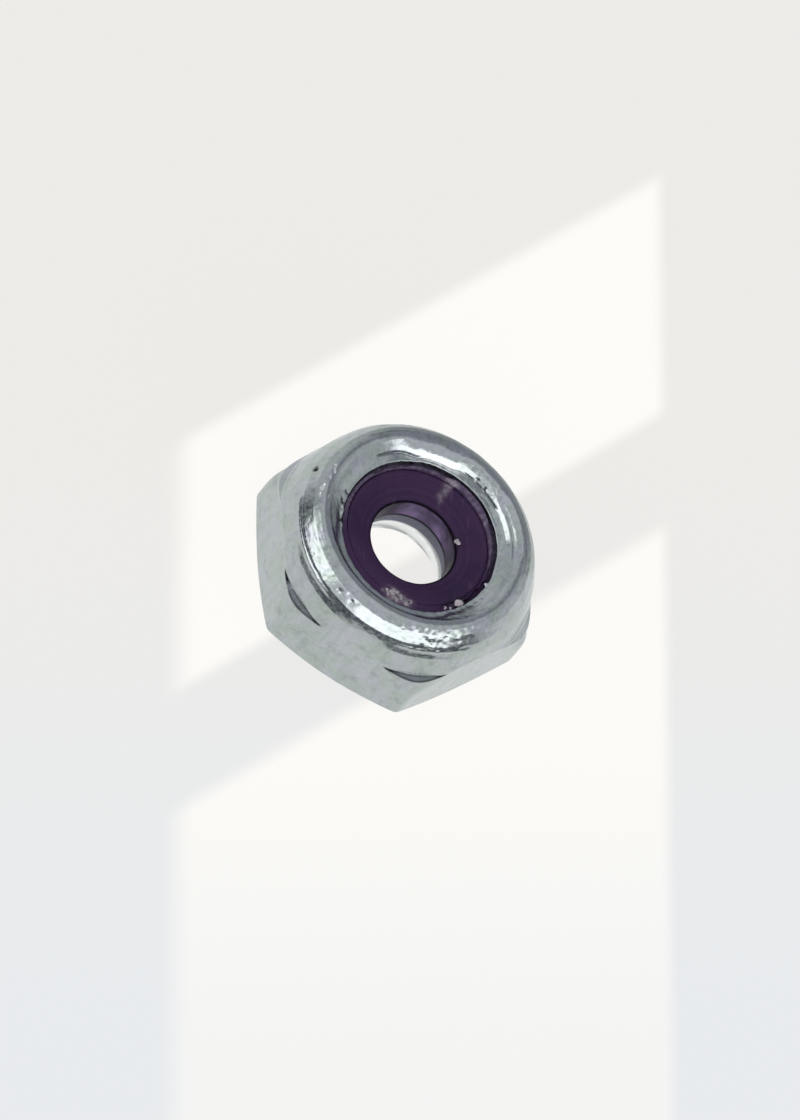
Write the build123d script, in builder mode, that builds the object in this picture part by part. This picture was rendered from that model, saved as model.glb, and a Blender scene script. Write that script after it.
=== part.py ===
from build123d import *
import os
from math import cos, radians, tan

# Nylon insert lock nut: a cold formed steel nut and the nylon ring that its collar holds.
# Millimetres. The nut stands on its bearing face, with the origin at the centre of that face,
# +Z along the thread, and two corners of the hexagon on the X axis.

# Hexagon
across_flats = 7.94
hexagon_sides = 6
hexagon_height = 2.02
corner_round = 0.12

# Bearing face: a circle just inside the flats, with the corners chamfered up from it
bearing_inset = 0.02
bearing_chamfer_angle = 28

# Top of the corners: they taper in to a narrow sloping ledge round the foot of the collar
ledge_width = 0.22
ledge_drop = 0.06
corner_taper_height = 0.62

# Collar: a cone from the ledge to the shoulder, which rolls over a narrow crest and down a slope
# to the flat lip over the insert. Its foot stands out past the flats, which cut it off.
collar_height = 1.515
collar_stand_out = 0.18
collar_draft = 0.435
collar_wall = 0.80
shoulder_width = 0.355
shoulder_drop = 0.42
shoulder_round = 1.60
crest_width = 0.32
crest_round = 0.30
lip_slope_width = 0.32
lip_slope_drop = 0.355
lip_width = 0.24
lip_drop = 0.05
lip_thickness = 0.18

# Thread, left plain at its minor diameter. Both of its ends are countersunk.
thread_radius = 1.425
thread_lead_in = 0.375
countersink_width = 0.675
countersink_angle = 90

# Pocket for the insert, under the lip
pocket_depth = 1.30
pocket_round = 0.35

# Nylon insert: a rim beside the lip, and a dish down to the plain bore that the screw bites into
insert_clearance = 0.02
insert_bite = 0.075
insert_lead_in = 0.13
insert_rim_inset = 0.03
insert_rim_rise = 0.13
insert_rim_width = 0.18
insert_rim_depth = 0.10
insert_dish_drop = 0.36
insert_rim_round = 0.05
insert_edge_round = 0.08

# Heights that follow
height = hexagon_height + collar_height
ledge_edge = hexagon_height - ledge_drop
shoulder_foot = height - shoulder_drop
lip_foot = height - lip_slope_drop
lip_edge = lip_foot - lip_drop
lip_underside = lip_edge - lip_thickness
pocket_floor = lip_underside - pocket_depth

# Radii that follow
flat_distance = across_flats / 2
corner_radius = flat_distance / cos(radians(180 / hexagon_sides))
blank_radius = corner_radius + corner_round
bearing_radius = flat_distance - bearing_inset
collar_radius = flat_distance + collar_stand_out
ledge_radius = collar_radius + ledge_width
shoulder_radius = collar_radius - collar_draft
crest_radius = shoulder_radius - shoulder_width
crest_inner_radius = crest_radius - crest_width
lip_foot_radius = crest_inner_radius - lip_slope_width
lip_radius = lip_foot_radius - lip_width
pocket_radius = collar_radius - collar_wall
countersink_radius = thread_radius + countersink_width

# Depths of the chamfer and the countersink, and the centre of the pocket's rounded top
chamfer_height = (blank_radius - bearing_radius) * tan(radians(bearing_chamfer_angle))
countersink_depth = countersink_width / tan(radians(countersink_angle / 2))
pocket_round_centre = (pocket_radius - pocket_round, lip_underside - pocket_round)

# Insert sizes that follow
insert_radius = pocket_radius - insert_clearance
insert_bore_radius = thread_radius - insert_bite
insert_shoulder_height = lip_underside - insert_clearance
insert_round_centre = (insert_radius - pocket_round, insert_shoulder_height - pocket_round)
insert_rim_radius = lip_radius - insert_rim_inset
insert_dish_radius = insert_rim_radius - insert_rim_width
insert_rim_height = insert_shoulder_height + insert_rim_rise
insert_dish_height = insert_rim_height - insert_rim_depth
insert_bore_edge = insert_dish_height - insert_dish_drop
insert_bore_foot = pocket_floor + insert_lead_in

# Steel nut: the section is turned about the thread's axis, and the hexagon cuts it to its flats.
# The corners of the shoulder and of the crest are rounded in the section.
with BuildPart() as nut_body:
    with BuildSketch(Plane.XZ):
        with BuildLine():
            Polyline(
                (countersink_radius, 0),
                (bearing_radius, 0),
                (blank_radius, chamfer_height),
                (blank_radius, ledge_edge - corner_taper_height),
                (ledge_radius, ledge_edge),
                (collar_radius, hexagon_height),
            )
            FilletPolyline(
                (collar_radius, hexagon_height),
                (shoulder_radius, shoulder_foot),
                (crest_radius, height),
                (crest_inner_radius, height),
                (lip_foot_radius, lip_foot),
                radius=(shoulder_round, crest_round, crest_round),
            )
            pocket_top = CenterArc(pocket_round_centre, pocket_round, 0, 90)
            Polyline(
                (lip_foot_radius, lip_foot),
                (lip_radius, lip_edge),
                (lip_radius, lip_underside),
                pocket_top @ 1,
            )
            Polyline(
                pocket_top @ 0,
                (pocket_radius, pocket_floor),
                (thread_radius + thread_lead_in, pocket_floor),
                (thread_radius, pocket_floor - thread_lead_in),
                (thread_radius, countersink_depth),
                (countersink_radius, 0),
            )
        make_face()
    revolve(axis=Axis.Z)
    with BuildSketch() as hexagon:
        RegularPolygon(radius=flat_distance, side_count=hexagon_sides, major_radius=False)
        fillet(hexagon.vertices(), radius=corner_round)
    extrude(amount=height, mode=Mode.INTERSECT)
nut_body.part.label = "nut_body"

# Nylon ring: it fills the pocket, rises in a rim beside the lip, and dishes down to its bore
with BuildPart() as nylon_insert:
    with BuildSketch(Plane.XZ):
        with BuildLine():
            ring_shoulder = CenterArc(insert_round_centre, pocket_round, 0, 90)
            dish = FilletPolyline(
                (insert_rim_radius, insert_shoulder_height),
                (insert_rim_radius, insert_rim_height),
                (insert_dish_radius, insert_dish_height),
                (insert_bore_radius, insert_bore_edge),
                (insert_bore_radius, insert_bore_foot),
                radius=(insert_rim_round, insert_rim_round, insert_edge_round),
            )
            Line(ring_shoulder @ 1, dish @ 0)
            Polyline(
                dish @ 1,
                (insert_bore_radius + insert_lead_in, pocket_floor),
                (insert_radius, pocket_floor),
                ring_shoulder @ 0,
            )
        make_face()
    revolve(axis=Axis.Z)
nylon_insert.part.label = "nylon_insert"

os.makedirs("parts", exist_ok=True)
export_step(nut_body.part, "parts/nut_body.step")
export_step(nylon_insert.part, "parts/nylon_insert.step")
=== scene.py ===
import bmesh
import bpy
from math import atan2, cos, exp, hypot, pi, radians, sin, tan
from mathutils import Matrix, Quaternion, Vector, noise


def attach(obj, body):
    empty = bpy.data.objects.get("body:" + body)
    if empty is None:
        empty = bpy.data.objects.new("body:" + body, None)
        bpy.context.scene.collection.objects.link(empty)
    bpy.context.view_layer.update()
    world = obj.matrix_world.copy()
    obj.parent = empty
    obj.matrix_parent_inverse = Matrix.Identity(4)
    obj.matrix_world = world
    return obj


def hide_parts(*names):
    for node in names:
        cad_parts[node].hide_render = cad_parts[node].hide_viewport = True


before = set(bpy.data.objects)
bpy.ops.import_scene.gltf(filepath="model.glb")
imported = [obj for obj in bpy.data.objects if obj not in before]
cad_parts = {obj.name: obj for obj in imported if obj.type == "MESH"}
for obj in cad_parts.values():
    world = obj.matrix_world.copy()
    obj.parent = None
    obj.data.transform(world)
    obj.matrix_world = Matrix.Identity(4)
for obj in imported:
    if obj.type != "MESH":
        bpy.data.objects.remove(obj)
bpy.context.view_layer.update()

# Camera: a long lens from well above the nut, turned about its own axis so that the nut leans to
# the right as it does in the photograph.
view_azimuth = radians(111.01)
view_elevation = radians(54.06)
view_roll = radians(40.38)
view_distance = 0.300
view_centre = Vector((-0.000676, -0.000221, 0.000515))
towards_camera = Vector((sin(view_azimuth) * cos(view_elevation),
                         -cos(view_azimuth) * cos(view_elevation), sin(view_elevation)))
camera = bpy.data.objects.new("camera", bpy.data.cameras.new("camera"))
camera.data.lens = 321.5
camera.data.clip_start = 0.01
camera.data.clip_end = 5.0
camera.location = view_centre + towards_camera * view_distance
camera.rotation_mode = "QUATERNION"
upright = (-towards_camera).to_track_quat("-Z", "Y")
camera.rotation_quaternion = upright @ Quaternion((0, 0, 1), view_roll)
bpy.context.scene.collection.objects.link(camera)
bpy.context.scene.camera = camera


# Steel nut body: a cold formed, zinc plated hexagon with a round collar, whose edge is rolled in
# over the nylon ring. Its section is spun about the thread, the flats are pressed in to the
# hexagon, the thread is cut into the bore, and the edge gets its burrs and nicks. Its shade
# attribute holds pale and dark for this wear, and also painted highlights and painted shade.
millimetre = 0.001
across_flats = 7.94
sharp_power, soft_power = 80, 14
spin_steps = 480
corner_crowding = 0.5
thread_minor = 1.425
thread_major = 1.60
thread_pitch = 0.794
bore_limit = 2.2
bore_top = 1.65
section = [
    # radius, height, rounding, length of the row of faces that follows
    (2.10, 0.000, 0.03, 0.60),
    (3.95, 0.000, 0.03, 0.06),
    (4.70, 0.400, 0.00, 0.12),
    (4.70, 1.945, 0.00, 0.12),
    (4.70, 1.985, 0.00, 0.05),
    (4.15, 2.020, 0.00, 0.05),
    (3.925, 2.680, 0.20, 0.03),
    (3.73, 3.060, 0.15, 0.03),
    (3.49, 3.355, 0.20, 0.03),
    (3.27, 3.520, 0.30, 0.03),
    (3.14, 3.545, 0.30, 0.03),
    (3.03, 3.500, 0.20, 0.03),
    (2.865, 3.355, 0.15, 0.03),
    (2.730, 3.195, 0.14, 0.02),
    (2.490, 3.150, 0.02, 0.03),
    (2.480, 2.940, 0.00, 0.30),
    (3.350, 2.940, 0.00, 0.60),
    (3.350, 1.650, 0.00, 0.60),
    (1.550, 1.650, 0.00, 0.05),
    (1.425, 1.275, 0.00, 0.05),
    (1.425, 0.675, 0.00, 0.06),
]
nicks_and_painted_highlights = [
    # angle, radius, height, width, depth, shade
    # A dark shade paints shade in the dent; a pale one marks a scratch or a raised edge.
    (301.3, 3.69, 3.14, 0.080, 0.050, -1.6),
    (297.0, 3.28, 3.52, 0.060, 0.030, 0.7),
    (299.5, 3.24, 3.53, 0.050, 0.025, 0.6),
    (301.4, 3.19, 3.54, 0.060, 0.035, 0.8),
    (306.0, 3.24, 3.52, 0.050, 0.025, 0.5),
    (311.5, 3.33, 3.48, 0.050, 0.030, 0.6),
    (313.2, 3.37, 3.45, 0.060, 0.035, 0.8),
    (317.0, 3.38, 3.44, 0.050, 0.030, 0.6),
    (318.0, 3.10, 3.54, 0.050, 0.025, 0.4),
    (304.3, 2.53, 3.15, 0.050, 0.060, -1.0),
    (312.5, 2.55, 3.15, 0.060, 0.070, -1.0),
    (316.5, 2.54, 3.15, 0.050, -0.020, 0.9),
    (321.0, 2.53, 3.15, 0.060, -0.020, 0.9),
    (326.0, 2.55, 3.15, 0.055, 0.060, -1.0),
    (330.0, 2.53, 3.15, 0.050, -0.015, 0.6),
    (14.0, 3.52, 3.33, 0.055, 0.020, 0.0),
    (19.5, 3.53, 3.32, 0.050, 0.018, 0.0),
    (17.0, 3.60, 3.24, 0.070, 0.022, 0.0),
    (9.0, 3.62, 3.21, 0.070, 0.020, 0.0),
    (45.0, 3.48, 3.36, 0.050, 0.020, 0.0),
    (52.0, 3.50, 3.34, 0.060, 0.020, 0.0),
    (61.0, 3.63, 3.20, 0.060, 0.025, -0.3),
    (68.0, 3.52, 3.33, 0.050, 0.022, 0.0),
    (74.0, 3.50, 3.34, 0.050, 0.020, 0.0),
    (86.0, 3.42, 3.40, 0.060, 0.020, 0.0),
    (196.0, 2.80, 3.28, 0.060, 0.022, -0.5),
    (189.0, 2.78, 3.26, 0.060, 0.020, -0.5),
    # Painted highlight: pale patches on the inner slope of the lip, the last six with no depth.
    (222.0, 2.62, 3.18, 0.130, -0.010, 0.8),
    (229.0, 2.62, 3.18, 0.130, -0.010, 0.7),
    (215.0, 2.62, 3.18, 0.120, -0.010, 0.7),
    (209.0, 2.66, 3.20, 0.090, -0.010, 0.5),
    (212.0, 2.78, 3.29, 0.110, 0.000, 0.7),
    (217.0, 2.76, 3.29, 0.110, 0.000, 0.7),
    (222.0, 2.74, 3.29, 0.110, 0.000, 0.7),
    (227.0, 2.74, 3.29, 0.110, 0.000, 0.7),
    (232.0, 2.74, 3.29, 0.110, 0.000, 0.7),
    (238.0, 2.76, 3.29, 0.110, 0.000, 0.6),
]
burrs = [
    # angle, radius, height, width, how far it stands out of the edge
    (115.0, 2.50, 3.12, 0.060, 0.100),
    (308.5, 2.50, 3.12, 0.040, 0.040),
    (319.0, 2.50, 3.12, 0.050, 0.050),
    (331.0, 2.50, 3.12, 0.040, 0.030),
]
# Painted light on the six corner ledges: a pale tint on each; the two at 0 and 60 degrees, below 0.2, also get a
# painted dark outline.
ledge_painted_light = {0: 0.15, 60: 0.10, 120: 0.2, 180: 0.2, 240: 0.25, 300: 0.2}


def spun_section(points, steps, sectors=20, fine=0.03):
    """A closed section of (radius, height, rounding, row length) spun a full turn about Z."""
    bm = bmesh.new()
    corners = [bm.verts.new((r, 0, z)) for r, z, _, _ in points]
    face = bm.faces.new(corners)
    rows = bm.edges.layers.float.new("row")
    for corner, following, (_, _, _, row) in zip(corners, corners[1:] + corners[:1], points):
        bm.edges.get((corner, following))[rows] = row
    for corner, (_, _, rounding, _) in zip(corners, points):
        if not rounding:
            continue
        before, after = [edge.other_vert(corner).co - corner.co for edge in corner.link_edges]
        offset = rounding / tan(before.angle(after) / 2)
        segments = max(2, int(rounding * (pi - before.angle(after)) / fine))
        bmesh.ops.bevel(bm, geom=[corner], offset=offset, offset_type="OFFSET", segments=segments,
                        profile=0.5, affect="VERTICES", material=-1)
    bmesh.ops.delete(bm, geom=bm.faces[:], context="FACES_ONLY")
    for edge in bm.edges[:]:
        cuts = int(edge.calc_length() / max(edge[rows], fine))
        if cuts:
            bmesh.ops.subdivide_edges(bm, edges=[edge], cuts=cuts)
    turn = {"cent": (0, 0, 0), "axis": (0, 0, 1)}
    bmesh.ops.spin(bm, geom=bm.verts[:] + bm.edges[:], angle=2 * pi / sectors,
                   steps=steps // sectors, **turn)
    bmesh.ops.spin(bm, geom=bm.verts[:] + bm.edges[:] + bm.faces[:], angle=2 * pi,
                   steps=sectors, use_duplicate=True, **turn)
    bmesh.ops.remove_doubles(bm, verts=bm.verts, dist=1e-5)
    bmesh.ops.recalc_face_normals(bm, faces=bm.faces)
    return bm


def finished_piece(bm, name, body, sharp_angle):
    """Scales a mesh in millimetres to metres, shades it smooth and makes it a piece."""
    bmesh.ops.scale(bm, vec=(millimetre,) * 3, verts=bm.verts)
    mesh = bpy.data.meshes.new(name)
    bm.to_mesh(mesh)
    bm.free()
    mesh.shade_smooth()
    mesh.set_sharp_from_angle(angle=radians(sharp_angle))
    piece = bpy.data.objects.new(name, mesh)
    bpy.context.scene.collection.objects.link(piece)
    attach(piece, body)
    return piece


def smooth_share(value, low, high):
    """0 below low, 1 above high, and a smooth rise between them."""
    share = min(max((value - low) / (high - low), 0.0), 1.0)
    return share * share * (3 - 2 * share)


def hexagon_radius(angle, power):
    """Distance to the two nearest flats; the corner between them is rounder for a lower power."""
    past_corner = (angle + pi / 6) % (pi / 3) - pi / 6
    total = cos(past_corner - pi / 6) ** power + cos(past_corner + pi / 6) ** power
    return across_flats / 2 / total ** (1 / power)


def soft_lesser(a, b, blend):
    """The lesser of two lengths, with the edge where they meet rounded off."""
    overlap = max(blend - abs(a - b), 0.0) / blend
    return min(a, b) - overlap * overlap * blend / 4


def thread_radius(angle, height):
    """The radius of a right-handed V thread with flat crests and roots."""
    turn = (height / thread_pitch - angle / (2 * pi) + 0.19) % 1.0
    groove = (1 - abs(turn - 0.5) * 2) * (1 - smooth_share(height, 1.22, 1.32))
    crest_share, root_share = 0.25, 0.125
    share = (groove - crest_share) / (1 - crest_share - root_share)
    return thread_minor + (thread_major - thread_minor) * min(max(share, 0.0), 1.0)


def off_round(angle):
    """How far the lip's edge lies outside its circle: it is wider on one side, and uneven."""
    turned = angle - radians(21)
    around = Vector((cos(angle), sin(angle), 0.0))
    oval = 0.02 + 0.05 * cos(turned) + 0.05 * cos(2 * turned) + 0.03 * sin(turned)
    return oval + 0.020 * noise.noise(around * 3.1) + 0.012 * noise.noise(around * 11.0)


def gathered(place, spots, column):
    """The sum at a place of round marks: angle, radius, height, width, and one of the columns."""
    total = 0.0
    for spot in spots:
        turned = radians(spot[0])
        centre = Vector((spot[1] * cos(turned), spot[1] * sin(turned), spot[2]))
        distance = (place - centre).length_squared / spot[3] ** 2
        if distance < 9:
            total += spot[column] * exp(-distance)
    return total


def arc_share(angle, middle, half_width, fade):
    """1 within an arc about a middle angle in degrees, falling to 0 beyond it."""
    away = abs((angle - radians(middle) + pi) % (2 * pi) - pi)
    return 1 - smooth_share(away, radians(half_width), radians(half_width + fade))


bm = spun_section(section, spin_steps)
bm.normal_update()
shade = bm.verts.layers.float.new("shade")
for vert in bm.verts:
    x, y, z = vert.co
    radius, angle = hypot(x, y), atan2(y, x)
    inside = radius < bore_limit and z < bore_top + 1e-4
    on_lip = 0.0 if inside else smooth_share(z, 2.80, 2.92) * (1 - smooth_share(radius, 2.50, 3.00))
    on_shoulder = smooth_share(z, 2.70, 2.85) * smooth_share(radius, 2.46, 2.49)
    angle -= corner_crowding / 6 * sin(6 * angle)
    if inside:
        radius = max(radius, thread_radius(angle, z))
    else:
        on_ledge = radius > 4.14 and 1.98 < z < 2.03
        power = sharp_power + (soft_power - sharp_power) * smooth_share(z, 0.9, 1.9)
        limit = hexagon_radius(angle, power)
        outline = smooth_share(radius, limit - 0.09, limit)
        radius = soft_lesser(radius, limit, 0.04 + 0.18 * smooth_share(z, 2.02, 2.35))
        if on_ledge:
            # Painted light and shade on the ledges: the pale tint, a painted dark outline round the ledges at 0 and 60
            # degrees, and a painted pale mark and a painted dark mark across the ledge near 350 degrees.
            corner = ledge_painted_light[round(angle / (pi / 3)) % 6 * 60]
            if corner < 0.2:
                corner -= 0.9 * outline + 0.6 * (1 - smooth_share(radius, 4.155, 4.21))
            vert[shade] = corner * smooth_share(radius, 4.10, 4.155)
            vert[shade] += 0.45 * arc_share(angle, 353.5, 0.8, 1.2) - 0.6 * arc_share(angle, 349.0, 0.8, 1.5)
    radius += off_round(angle) * on_lip
    if not inside:
        taper = max(arc_share(angle, 120 + 60 * step, 26, 4) for step in range(4))
        z -= 0.6 * taper * max(radius - 4.15, 0.0) * smooth_share(z, 1.5, 1.94)
    vert.co = radius * cos(angle), radius * sin(angle), z
    # Painted shade: a half dark line along the foot of the flats and round the top of the thread's lead-in, under the
    # nylon ring.
    if radius > 3.90 and z < 0.045 or inside and z > 1.58:
        vert[shade] = -0.5
    if on_shoulder:
        place = vert.co.copy()
        flange = 1 - smooth_share(radius, 2.70, 2.80)
        rough = 1 + 1.5 * arc_share(angle, 68, 12, 10)
        ripple = (noise.noise(place * 2.2) * 0.008 + noise.noise(place * 13.0) * 0.0025
                  + noise.noise(place * 6.5) * (0.0035 + 0.004 * flange) * rough)
        ridge = max(arc_share(angle, 342, 20, 10), 0.6 * arc_share(angle, 62, 12, 8))
        ripple += 0.018 * ridge * exp(-((z - 2.93) / 0.05) ** 2)
        seam = max(arc_share(angle, 252, 12, 8), arc_share(angle, 190, 12, 6))
        swell = max(0.10 * arc_share(angle, 109, 30, 18), 0.10 * arc_share(angle, 301, 28, 18),
                    0.02 * arc_share(angle, 158, 14, 10))
        from_seam = radius - off_round(angle) * on_lip - 2.74
        vert.co.z += swell * exp(-(from_seam / 0.13) ** 2) - 0.035 * seam * exp(-(from_seam / 0.022) ** 2)
        dip = 0.05 * arc_share(angle, 158, 14, 10) * smooth_share(from_seam, 0.09, 0.22) * (1 - smooth_share(from_seam, 0.3, 0.5))
        vert.co.z -= dip
        drawn_in = arc_share(angle, 227, 11, 12) * smooth_share(from_seam, -0.19, -0.04) * (1 - smooth_share(from_seam, 0.16, 0.46))
        vert.co.xy *= 1 - 0.14 * drawn_in / radius
        vert.co += vert.normal * (ripple - gathered(place, nicks_and_painted_highlights, 4)) * on_shoulder
        vert.co.xy *= 1 - gathered(place, burrs, 4) / radius
        # Pale and dark from the table: painted shade in dents, painted highlight on the inner slope, and pale scratches
        # and burrs.
        vert[shade] += gathered(place, nicks_and_painted_highlights, 5) + gathered(place, burrs, 4) * 8
        # Painted shade: a dark line along the inner edge of the lip on the near side.
        painted_lip_shade = arc_share(angle, 12, 52, 15) * (1 - smooth_share(radius - off_round(angle) * on_lip, 2.495, 2.525))
        vert[shade] -= 0.85 * painted_lip_shade * smooth_share(z, 3.0, 3.1)
nut = finished_piece(bm, "steel_nut_body", "root", 38)
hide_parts("nut_body")


def add_node(tree, kind, inputs=None, **settings):
    """Adds a shader node; each input is given a value, or the socket that feeds it."""
    made = tree.nodes.new("ShaderNode" + kind)
    for name, value in settings.items():
        setattr(made, name, value)
    for name, value in (inputs or {}).items():
        if isinstance(value, bpy.types.NodeSocket):
            tree.links.new(value, made.inputs[name])
        else:
            made.inputs[name].default_value = value
    return made


def maths(tree, operation, *values, clamp=False):
    """The output of a Math node with the given values or sockets."""
    return add_node(tree, "Math", dict(enumerate(values)), operation=operation,
                    use_clamp=clamp).outputs[0]


def rise(tree, value, low, high, to_low=0.0, to_high=1.0):
    """A smooth change from one level to another as a value goes from low to high."""
    return add_node(tree, "MapRange", {"Value": value, "From Min": low, "From Max": high,
                                       "To Min": to_low, "To Max": to_high},
                    interpolation_type="SMOOTHSTEP").outputs[0]


def blend_colour(tree, share, low, high):
    """Mixes two colours, each given as a value or a socket."""
    return add_node(tree, "Mix", {0: share, 6: low, 7: high}, data_type="RGBA").outputs[2]


def new_group(name, inputs, outputs):
    """An empty shader node group with float sockets of the given names, and vectors for Place."""
    group = bpy.data.node_groups.new(name, "ShaderNodeTree")
    for label in inputs:
        kind = "NodeSocketVector" if label == "Place" else "NodeSocketFloat"
        group.interface.new_socket(label, in_out="INPUT", socket_type=kind)
    for label in outputs:
        group.interface.new_socket(label, in_out="OUTPUT", socket_type="NodeSocketFloat")
    return group, group.nodes.new("NodeGroupInput").outputs, group.nodes.new("NodeGroupOutput").inputs


# Grain of a formed or moulded surface: soft patches, a finer speckle and a height for the bump.
grain, given, wanted = new_group("surface_grain", ("Place", "Patch Scale", "Grain Scale"),
                                 ("Patches", "Speckle", "Height"))
patches = add_node(grain, "TexNoise", {"Vector": given["Place"], "Scale": given["Patch Scale"],
                                       "Detail": 3.0, "Roughness": 0.6, "Distortion": 0.4})
speckle = add_node(grain, "TexNoise", {"Vector": given["Place"], "Scale": given["Grain Scale"],
                                       "Detail": 2.0, "Roughness": 0.55})
grain.links.new(rise(grain, patches.outputs[0], 0.30, 0.70), wanted["Patches"])
grain.links.new(rise(grain, speckle.outputs[0], 0.30, 0.70), wanted["Speckle"])
grain.links.new(maths(grain, "ADD", patches.outputs[0],
                      maths(grain, "MULTIPLY", speckle.outputs[0], 0.5)), wanted["Height"])

# Scuffs from handling: short thin scratches in patches, at the slant and spacing asked for.
scuffs, given, wanted = new_group("handling_scuffs", ("Place", "Slant", "Scale", "Amount"),
                                  ("Mask",))
turned = add_node(scuffs, "VectorRotate", {"Vector": given["Place"], "Angle": given["Slant"]},
                  rotation_type="AXIS_ANGLE")
stretched = add_node(scuffs, "Mapping", {"Vector": turned.outputs[0], "Scale": (0.12, 1.0, 1.0)})
lines = add_node(scuffs, "TexNoise", {"Vector": stretched.outputs[0], "Scale": given["Scale"],
                                      "Detail": 1.0, "Distortion": 0.3})
where = add_node(scuffs, "TexNoise", {"Vector": given["Place"], "Scale": 0.9, "Detail": 1.0})
scuffs.links.new(maths(scuffs, "MULTIPLY",
                       maths(scuffs, "MULTIPLY", rise(scuffs, lines.outputs[0], 0.62, 0.68),
                             rise(scuffs, where.outputs[0], 0.45, 0.60)),
                       given["Amount"]), wanted["Mask"])

zinc = bpy.data.materials.new("bright_zinc_plate")
zinc.use_nodes = True
tree = zinc.node_tree
shader = tree.nodes["Principled BSDF"]
place = add_node(tree, "Mapping", {"Vector": add_node(tree, "TexCoord").outputs["Object"],
                                   "Scale": (1000, 1000, 1000)}).outputs[0]
axes = add_node(tree, "SeparateXYZ", {0: place}).outputs
radius = maths(tree, "SQRT", maths(tree, "ADD", maths(tree, "POWER", axes["X"], 2.0),
                                   maths(tree, "POWER", axes["Y"], 2.0)))
surface = add_node(tree, "Group", node_tree=grain)
tree.links.new(place, surface.inputs["Place"])
surface.inputs["Patch Scale"].default_value = 1.4
surface.inputs["Grain Scale"].default_value = 9.0
marks = add_node(tree, "Group", node_tree=scuffs)
tree.links.new(place, marks.inputs["Place"])
for name, value in (("Slant", 0.7), ("Scale", 6.0), ("Amount", 0.5)):
    marks.inputs[name].default_value = value
green_zinc, lilac_zinc, bright_zinc = (0.40, 0.455, 0.415, 1), (0.465, 0.475, 0.525, 1), (0.60, 0.64, 0.62, 1)
tint = blend_colour(tree, surface.outputs["Patches"], green_zinc, lilac_zinc)
tint = blend_colour(tree, maths(tree, "MULTIPLY", surface.outputs["Speckle"], 0.25), tint, bright_zinc)
tint = blend_colour(tree, maths(tree, "MULTIPLY", marks.outputs["Mask"], 0.12), tint, (0.28, 0.30, 0.31, 1))
smudges = add_node(tree, "TexNoise", {"Vector": place, "Scale": 2.6, "Detail": 3.0, "Roughness": 0.65}).outputs[0]
tint = blend_colour(tree, rise(tree, smudges, 0.50, 0.72, 0.0, 0.5), tint, (0.28, 0.31, 0.31, 1))
drawn = add_node(tree, "Mapping", {"Vector": place, "Scale": (4.0, 4.0, 0.5)}).outputs[0]
streaks = add_node(tree, "TexNoise", {"Vector": drawn, "Scale": 1.2, "Detail": 2.0}).outputs[0]
tint = blend_colour(tree, rise(tree, streaks, 0.45, 0.75, 0.0, 0.30), tint, (0.33, 0.36, 0.37, 1))
in_bore = rise(tree, radius, 1.85, 2.1, 1.0, 0.0)
# Painted light in the bore: the thread below about 1.25 mm is painted nearly white, and above it dark as shade.
painted_bore_light = blend_colour(tree, rise(tree, axes["Z"], 1.20, 1.30), (0.97, 0.97, 0.96, 1), (0.21, 0.21, 0.26, 1))
tint = blend_colour(tree, in_bore, tint, painted_bore_light)
# The shade attribute paints pale for scratches, burrs and painted highlights, and dark for painted shade.
mark = add_node(tree, "Attribute", attribute_name="shade").outputs["Fac"]
tint = blend_colour(tree, maths(tree, "MULTIPLY", mark, 1.0, clamp=True), tint, (0.92, 0.92, 0.94, 1))
tint = blend_colour(tree, maths(tree, "MULTIPLY", mark, -1.0, clamp=True), tint, (0.03, 0.035, 0.035, 1))
tree.links.new(tint, shader.inputs["Base Color"])
shader.inputs["Metallic"].default_value = 1.0
tree.links.new(maths(tree, "ADD", maths(tree, "MULTIPLY", surface.outputs["Speckle"], 0.10),
                     maths(tree, "ADD", maths(tree, "MULTIPLY", marks.outputs["Mask"], 0.15),
                           rise(tree, radius, 1.85, 2.1, 0.40, 0.15))),
               shader.inputs["Roughness"])
bump = add_node(tree, "Bump", {"Height": surface.outputs["Height"], "Strength": 1.0,
                               "Distance": 0.000007})
tree.links.new(bump.outputs[0], shader.inputs["Normal"])
nut.data.materials.append(zinc)


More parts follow.
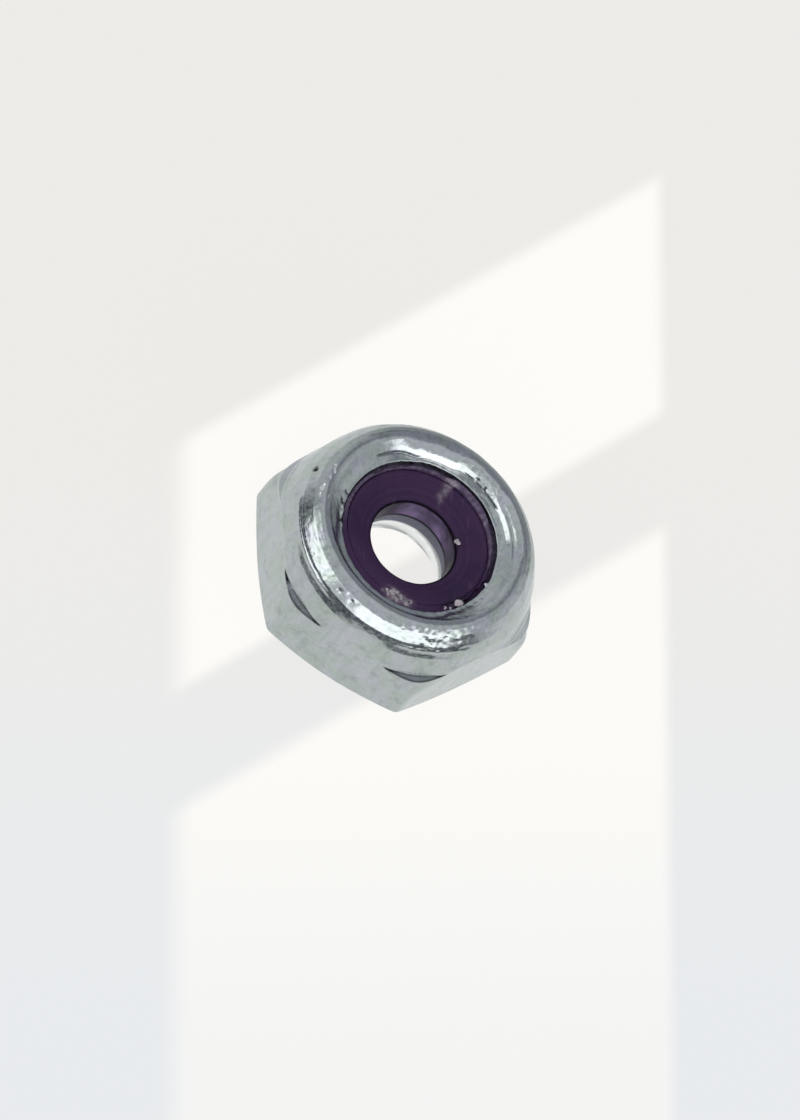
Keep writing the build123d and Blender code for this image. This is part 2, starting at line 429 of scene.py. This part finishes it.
# Nylon insert: a moulded purple ring pressed into the collar. It dishes down to a plain bore that
# is a little smaller than the thread, and its rim bulges up beside the turned-in edge.
ring_section = [
    (1.35, 1.78, 0.00, 0.06),
    (1.35, 2.60, 0.08, 0.05),
    (2.24, 2.95, 0.00, 0.02),
    (2.26, 2.92, 0.00, 0.02),
    (2.30, 3.02, 0.05, 0.03),
    (2.45, 3.10, 0.04, 0.03),
    (2.46, 2.93, 0.00, 0.30),
    (3.33, 2.93, 0.35, 0.50),
    (3.33, 1.65, 0.00, 0.50),
    (1.48, 1.65, 0.00, 0.10),
]
marks_on_ring = [
    # angle, radius, height, width, how far it stands up, shade
    # The dark dents beside the big bit of swarf near 88 degrees and beside the bits near 155 degrees are painted shade
    # under them.
    (92.0, 2.30, 2.98, 0.110, -0.030, -1.3),
    (98.0, 2.36, 3.00, 0.100, -0.030, -1.0),
    (84.0, 2.28, 2.97, 0.100, -0.030, -1.3),
    (78.0, 2.32, 2.98, 0.070, -0.030, -1.2),
    (73.0, 2.36, 3.00, 0.060, -0.020, -1.0),
    (163.0, 1.40, 2.62, 0.070, -0.030, -1.4),
    (152.0, 1.38, 2.60, 0.060, -0.030, -1.3),
    (36.0, 2.05, 2.88, 0.100, 0.010, 0.60),
    (41.0, 2.16, 2.92, 0.090, 0.020, 0.70),
    (33.0, 2.18, 2.93, 0.080, 0.020, 0.60),
    (30.0, 2.28, 2.96, 0.070, 0.020, 0.80),
    (38.0, 2.32, 2.99, 0.070, 0.025, 0.90),
    (45.0, 2.30, 2.98, 0.070, 0.025, 0.80),
    (50.0, 2.22, 2.95, 0.060, 0.020, 0.60),
    (26.0, 2.30, 2.97, 0.060, 0.020, 0.60),
    (38.5, 2.22, 2.95, 0.040, -0.010, -0.9),
    (30.0, 2.10, 2.90, 0.050, -0.010, -0.5),
    (209.0, 2.18, 2.92, 0.110, 0.008, 0.32),
    (208.0, 2.02, 2.86, 0.100, 0.006, 0.28),
    (210.0, 1.86, 2.80, 0.100, 0.006, 0.25),
    (207.0, 1.72, 2.75, 0.080, 0.006, 0.16),
    (206.0, 2.33, 3.00, 0.110, 0.010, 0.50),
    (212.0, 2.36, 3.02, 0.080, 0.010, 0.40),
    (196.0, 2.26, 2.96, 0.060, -0.020, -0.8),
    (203.0, 2.24, 2.96, 0.050, -0.020, -0.8),
    (168.0, 2.30, 3.00, 0.060, 0.020, 0.25),
    (33.0, 2.12, 2.90, 0.190, 0.000, 0.26),
    (41.0, 2.22, 2.95, 0.200, 0.000, 0.30),
    (35.0, 2.34, 3.00, 0.180, 0.000, 0.34),
    (48.0, 2.30, 2.98, 0.150, 0.000, 0.24),
]
swarf = [
    # angle, radius, height, size of a bit of swarf that lies on the ring
    (88.4, 2.40, 3.03, 0.120),
    (76.4, 2.40, 2.99, 0.055),
    (80.0, 2.46, 3.03, 0.040),
    (157.0, 1.455, 2.64, 0.080),
    (154.5, 1.43, 2.71, 0.060),
    (29.0, 2.20, 2.94, 0.045),
    (38.0, 2.10, 2.90, 0.060),
    (35.0, 2.24, 2.95, 0.050),
    (42.0, 2.28, 2.97, 0.050),
    (46.0, 2.42, 3.01, 0.065),
    (38.7, 2.42, 3.01, 0.065),
    (31.0, 2.38, 3.00, 0.050),
    (50.0, 2.32, 2.98, 0.050),
]
bm = spun_section(ring_section, 320)
bm.normal_update()
shade = bm.verts.layers.float.new("shade")
painted_rim_sheen_layer = bm.verts.layers.float.new("painted_rim_sheen")
for vert in bm.verts:
    place = vert.co.copy()
    radius, angle = hypot(place.x, place.y), atan2(place.y, place.x)
    if 1.30 < radius < 2.75 and place.z > 1.75:
        near_rim = smooth_share(radius, 2.20, 2.28)
        rim_here = arc_share(angle, 226, 72, 40)
        gap = 0.09 * arc_share(angle, 242, 26, 12) + 0.10 * arc_share(angle, 125, 30, 20)
        gap *= 1 + 0.8 * noise.noise(place * 4.0)
        ripple = noise.noise(place * 1.3) * 0.010 + noise.noise(place * 5.0) * (0.003 + 0.007 * near_rim)
        vert.co.xy *= 1 + (off_round(angle) - gap) * smooth_share(radius, 2.25, 2.42) / radius
        vert.co.z -= 0.05 * (1 - rim_here) * smooth_share(radius, 2.28, 2.40)
        vert.co += vert.normal * ripple
        vert.co.z += gathered(place, marks_on_ring, 4)
        vert[shade] = gathered(place, marks_on_ring, 5)
        # Painted sheen: the raised rim on the far side is marked here to be painted paler in the material.
        vert[painted_rim_sheen_layer] = rim_here * smooth_share(radius, 2.27, 2.29)
        # Painted shade: a dark line in the groove beside the raised rim; where there is no rim the groove is raised
        # away.
        if 2.25 < radius < 2.27:
            vert[shade] -= rim_here
            vert.co.z += 0.03 * (1 - rim_here)
    # Painted shade: the foot of the ring's bore is painted black.
    if radius < 1.50 and place.z < 1.84:
        vert[shade] = -1.0
for bit_angle, bit_radius, bit_height, size in swarf:
    turned = radians(bit_angle)
    centre = Vector((bit_radius * cos(turned), bit_radius * sin(turned), bit_height))
    for vert in bmesh.ops.create_icosphere(bm, subdivisions=3, radius=size)["verts"]:
        vert.co *= 1 + 0.9 * noise.noise(vert.co * 0.8 / size + centre)
        vert.co.z *= 0.7
        vert.co += centre
        vert[shade] = 1.5
ring = finished_piece(bm, "nylon_ring", "root", 38)
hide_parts("nylon_insert")

nylon = bpy.data.materials.new("purple_nylon")
nylon.use_nodes = True
tree = nylon.node_tree
shader = tree.nodes["Principled BSDF"]
place = add_node(tree, "Mapping", {"Vector": add_node(tree, "TexCoord").outputs["Object"],
                                   "Scale": (1000, 1000, 1000)}).outputs[0]
axes = add_node(tree, "SeparateXYZ", {0: place}).outputs
radius = maths(tree, "SQRT", maths(tree, "ADD", maths(tree, "POWER", axes["X"], 2.0),
                                   maths(tree, "POWER", axes["Y"], 2.0)))
surface = add_node(tree, "Group", node_tree=grain)
tree.links.new(place, surface.inputs["Place"])
surface.inputs["Patch Scale"].default_value = 1.3
surface.inputs["Grain Scale"].default_value = 7.0
marks = add_node(tree, "Group", node_tree=scuffs)
tree.links.new(place, marks.inputs["Place"])
for name, value in (("Slant", 2.2), ("Scale", 5.0), ("Amount", 0.2)):
    marks.inputs[name].default_value = value
tint = blend_colour(tree, surface.outputs["Patches"], (0.022, 0.005, 0.041, 1), (0.034, 0.009, 0.048, 1))
turning = add_node(tree, "TexNoise", {"W": radius, "Scale": 9.0, "Detail": 1.0}, noise_dimensions="1D").outputs[0]
tint = blend_colour(tree, rise(tree, turning, 0.50, 0.65, 0.0, 0.08), tint, (0.10, 0.06, 0.13, 1))
# Painted light: the ring is painted a little paler on its half towards the windows, and the wall of its bore pale on
# the far side, which faces them, and nearly black on the near side.
towards_lit_side = add_node(tree, "VectorMath", {0: place, 1: (towards_camera.x, towards_camera.y, 0)},
                    operation="DOT_PRODUCT").outputs["Value"]
tint = blend_colour(tree, rise(tree, towards_lit_side, 0.5, 1.3), tint, (0.052, 0.020, 0.072, 1))
in_bore = rise(tree, radius, 1.34, 1.39, 1.0, 0.0)
painted_wall_light = blend_colour(tree, rise(tree, towards_lit_side, -0.80, -0.38), (0.42, 0.30, 0.55, 1), (0.042, 0.02, 0.065, 1))
tint = blend_colour(tree, in_bore, tint, painted_wall_light)
# Painted shade: a black line round the edge of the bore.
edge = maths(tree, "MULTIPLY", rise(tree, radius, 1.335, 1.36), rise(tree, radius, 1.39, 1.43, 1.0, 0.0))
tint = blend_colour(tree, edge, tint, (0.003, 0.001, 0.006, 1))
# Painted sheen: the raised rim is painted paler lavender, mottled by the speckle.
painted_rim_sheen = add_node(tree, "Attribute", attribute_name="painted_rim_sheen").outputs["Fac"]
tint = blend_colour(tree, maths(tree, "MULTIPLY", painted_rim_sheen, rise(tree, surface.outputs["Speckle"], 0.0, 1.0, 0.4, 1.0)), tint, (0.13, 0.10, 0.155, 1))
tint = blend_colour(tree, maths(tree, "MULTIPLY", marks.outputs["Mask"], 0.5), tint, (0.17, 0.13, 0.20, 1))
# The shade attribute paints pale for the swarf and its smear, and dark for dents and for painted shade beside the
# swarf, in the groove by the rim and at the foot of the bore.
mark = add_node(tree, "Attribute", attribute_name="shade").outputs["Fac"]
mottled = maths(tree, "MULTIPLY", mark, rise(tree, surface.outputs["Speckle"], 0.0, 1.0, 0.5, 1.3))
tint = blend_colour(tree, maths(tree, "MULTIPLY", mottled, 1.0, clamp=True), tint, (0.50, 0.45, 0.47, 1))
tint = blend_colour(tree, maths(tree, "MULTIPLY", mark, -1.0, clamp=True), tint, (0.004, 0.002, 0.006, 1))
tree.links.new(tint, shader.inputs["Base Color"])
shader.inputs["Roughness"].default_value = 0.42
tree.links.new(maths(tree, "SUBTRACT", 0.28, maths(tree, "MULTIPLY", maths(tree, "MAXIMUM", in_bore, edge), 0.22)),
               shader.inputs["Specular IOR Level"])
bump = add_node(tree, "Bump", {"Height": surface.outputs["Height"], "Strength": 1.0,
                               "Distance": 0.000015})
tree.links.new(bump.outputs[0], shader.inputs["Normal"])
ring.data.materials.append(nylon)


# Floor: a pale matt surface that glows, with two slanted bands of window light painted across it and
# a cooler tone towards the bottom of the picture. It keeps a share of the nut's shadow. Away from
# the nut the metal sees it fall off into the dark of the room, and behind the nut it sees it painted
# darker as the nut's shadow.
front = Vector((towards_camera.x, towards_camera.y, 0)).normalized()
side = Vector((-front.y, front.x, 0))
floor_mesh = bmesh.new()
bmesh.ops.create_circle(floor_mesh, cap_ends=True, segments=96, radius=0.25)
mesh = bpy.data.meshes.new("floor")
floor_mesh.to_mesh(mesh)
floor_mesh.free()
mesh.transform(Matrix.Translation((0, 0, -0.00002)))
floor = bpy.data.objects.new("floor", mesh)
bpy.context.scene.collection.objects.link(floor)
paper = bpy.data.materials.new("pale_floor")
paper.use_nodes = True
tree = paper.node_tree
tree.nodes.clear()
spot = add_node(tree, "TexCoord").outputs["Object"]
distance = add_node(tree, "VectorMath", {0: spot}, operation="LENGTH").outputs["Value"]
def picture_axis(axis, shift):
    """How far a place on the floor lies along an axis of the picture, in millimetres."""
    along = camera.rotation_quaternion @ Vector(axis)
    product = add_node(tree, "VectorMath", {0: spot, 1: tuple(along * 1000)}, operation="DOT_PRODUCT")
    return maths(tree, "SUBTRACT", product.outputs["Value"], along.dot(view_centre) * 1000 + shift)


across, upwards = picture_axis((1, 0, 0), -6.29), picture_axis((0, 1, 0), 0.0)
slanted = maths(tree, "SUBTRACT", upwards, maths(tree, "MULTIPLY", across, 0.57))
upper_light = maths(tree, "MULTIPLY", rise(tree, slanted, -4.00, -3.35), rise(tree, slanted, 3.35, 4.05, 1.0, 0.0))
lower_light = maths(tree, "MULTIPLY", rise(tree, slanted, -7.60, -6.80, 1.0, 0.0), rise(tree, upwards, -16.0, -3.0, 0.55, 1.0))
lit = maths(tree, "MULTIPLY", maths(tree, "ADD", upper_light, lower_light),
            maths(tree, "MULTIPLY", rise(tree, across, -0.80, 0.30), rise(tree, across, 14.05, 14.65, 1.0, 0.0)))
unlit = blend_colour(tree, rise(tree, upwards, -14.0, 4.0), (0.825, 0.845, 0.865, 1), (0.865, 0.85, 0.825, 1))
pale = blend_colour(tree, lit, unlit, (1.01, 0.995, 0.96, 1))
ahead = add_node(tree, "VectorMath", {0: add_node(tree, "VectorMath", {0: spot}, operation="NORMALIZE").outputs[0],
                                      1: tuple(front)}, operation="DOT_PRODUCT").outputs["Value"]
shaded = maths(tree, "MAXIMUM", maths(tree, "MULTIPLY", rise(tree, ahead, -0.30, 0.05), rise(tree, distance, 0.016, 0.032)),
               maths(tree, "MULTIPLY", rise(tree, ahead, -0.93, -0.70, 0.7, 0.0), rise(tree, distance, 0.004, 0.012)))
room = blend_colour(tree, shaded, (0.94, 0.96, 0.95, 1), (0.10, 0.115, 0.14, 1))
path = add_node(tree, "LightPath").outputs
shown = blend_colour(tree, path["Is Glossy Ray"], pale, room)
matt = add_node(tree, "BsdfDiffuse", {"Color": (0.82, 0.82, 0.81, 1)})
glow = add_node(tree, "Emission", {"Color": shown})
seen = maths(tree, "MAXIMUM", path["Is Camera Ray"], path["Is Glossy Ray"])
mix = add_node(tree, "MixShader", {0: maths(tree, "MULTIPLY", seen, 0.92), 1: matt.outputs[0],
                                   2: glow.outputs[0]})
add_node(tree, "OutputMaterial", {"Surface": mix.outputs[0]})
floor.data.materials.append(paper)


# Room light: two wide windows on the camera's side with a narrow post between them, a dark band
# below them round the horizon, a soft grey ceiling and a dimmer grey far wall.
world = bpy.data.worlds.new("studio")
world.use_nodes = True
tree = world.node_tree
tree.nodes.clear()
direction = add_node(tree, "TexCoord").outputs["Generated"]
height = add_node(tree, "SeparateXYZ", {0: direction}).outputs["Z"]
forward = add_node(tree, "VectorMath", {0: direction, 1: tuple(front)}, operation="DOT_PRODUCT").outputs["Value"]
sideways = add_node(tree, "VectorMath", {0: direction, 1: tuple(side)}, operation="DOT_PRODUCT").outputs["Value"]
bearing = maths(tree, "ARCTAN2", sideways, forward)
above_sill = rise(tree, height, sin(radians(12)), sin(radians(15)))
below_head = rise(tree, height, sin(radians(36)), sin(radians(40)), 1.0, 0.0)
right_pane = maths(tree, "MULTIPLY", rise(tree, bearing, radians(-7), radians(-1)),
                   rise(tree, bearing, radians(80), radians(98), 1.0, 0.0))
left_pane = maths(tree, "MULTIPLY", rise(tree, bearing, radians(-92), radians(-76)),
                  rise(tree, bearing, radians(-36), radians(-29), 1.0, 0.0))
post = maths(tree, "MULTIPLY", rise(tree, bearing, radians(-36), radians(-29), 0.0, 0.30),
             rise(tree, bearing, radians(-7), radians(-1), 1.0, 0.0))
window = maths(tree, "MULTIPLY", maths(tree, "MULTIPLY", above_sill, below_head),
               maths(tree, "ADD", maths(tree, "ADD", right_pane, left_pane), post))
cornered = maths(tree, "ABSOLUTE", bearing)
low = blend_colour(tree, rise(tree, cornered, radians(86), radians(104)), (0.09, 0.10, 0.125, 1), (0.68, 0.71, 0.72, 1))
low = blend_colour(tree, rise(tree, cornered, radians(135), radians(155)), low, (0.20, 0.215, 0.245, 1))
wall = blend_colour(tree, rise(tree, height, sin(radians(14)), sin(radians(34))), low, (0.56, 0.585, 0.62, 1))
ceiling = blend_colour(tree, rise(tree, height, sin(radians(40)), sin(radians(62))), wall, (0.74, 0.76, 0.79, 1))
behind = maths(tree, "MULTIPLY", rise(tree, forward, -0.30, -0.05, 1.0, 0.0),
               rise(tree, maths(tree, "ABSOLUTE", sideways), 0.22, 0.50, 1.0, 0.0))
ceiling = blend_colour(tree, behind, ceiling, (0.33, 0.345, 0.39, 1))
room = blend_colour(tree, window, ceiling, (2.20, 2.24, 2.25, 1))
light = add_node(tree, "Background", {"Color": room})
pale = add_node(tree, "Background", {"Color": (0.985, 0.98, 0.965, 1)})
mix = add_node(tree, "MixShader", {0: add_node(tree, "LightPath").outputs["Is Camera Ray"],
                                   1: light.outputs[0], 2: pale.outputs[0]})
add_node(tree, "OutputWorld", {"Surface": mix.outputs[0]})
bpy.context.scene.world = world
bpy.context.scene.view_settings.view_transform = "Standard"
